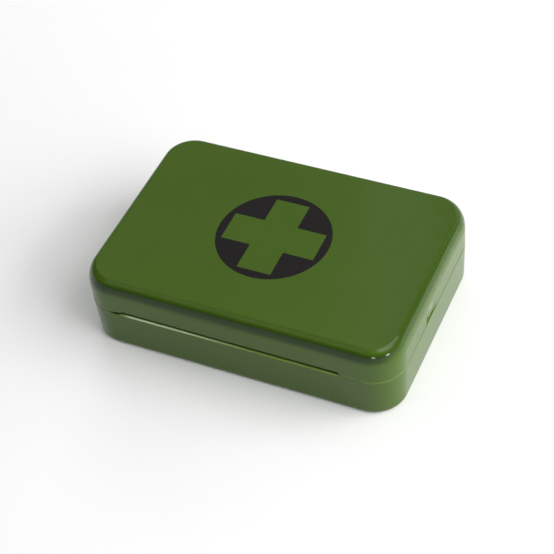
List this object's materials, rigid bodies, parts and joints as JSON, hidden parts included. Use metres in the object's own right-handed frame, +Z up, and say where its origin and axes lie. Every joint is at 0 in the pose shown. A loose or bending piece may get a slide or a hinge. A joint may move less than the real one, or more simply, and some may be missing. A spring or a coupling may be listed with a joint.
{
  "type": "first aid kit",
  "caption": "Pocket first aid kit: rounded two-part plastic box with a rear pin hinge, a printed cross mark on the lid and bandages, dressings and small tools inside.",
  "frame": {"origin": "centre of the flat underside of the base tray", "axes": "+X along the long side to the right, +Y to the hinge side, +Z up out of the lid"},
  "size_m": [0.125, 0.0892, 0.033],
  "materials": {
    "case_plastic": "glossy moulded olive green",
    "mark_ink": "printed black ink, satin",
    "pin_steel": "drawn steel wire",
    "gauze": "open woven gauze",
    "cotton": "folded unbleached cotton",
    "wrap_paper": "crimped medical paper",
    "glove_bag": "thin bag over blue gloves",
    "leaflet_paper": "folded paper",
    "sachet_foil": "foil-lined paper sachet",
    "plaster_wrap": "glassine wrapper",
    "tape_fabric": "white woven tape",
    "core_plastic": "moulded white plastic",
    "tweezers_steel": "stamped nickel-plated steel",
    "pin_wire": "nickel-plated wire"
  },
  "bodies": {
    "base": {"base_shell": "case_plastic", "hinge_pin_left": "pin_steel", "hinge_pin_right": "pin_steel", "gauze_roll_wide": "gauze", "gauze_roll_narrow": "gauze", "triangular_bandage": "cotton", "wound_dressing": "wrap_paper", "gloves_packet": "glove_bag", "leaflet": "leaflet_paper", "wipe_sachet_a": "sachet_foil", "wipe_sachet_b": "sachet_foil", "plaster_a": "plaster_wrap", "plaster_b": "plaster_wrap", "plaster_c": "plaster_wrap", "tape_roll": "tape_fabric", "tape_core": "core_plastic", "tweezers": "tweezers_steel", "safety_pin_a": "pin_wire", "safety_pin_a_clasp": "pin_wire", "safety_pin_b": "pin_wire", "safety_pin_b_clasp": "pin_wire"},
    "lid": {"lid_shell": "case_plastic", "lid_emblem": "mark_ink"}
  },
  "joints": [
    {"name": "lid_hinge", "type": "hinge", "parent": "base", "child": "lid", "pos_m": [0, 0.04475, 0.01775], "axis": [-1, 0, 0], "range_deg": [0, 180]}
  ]
}
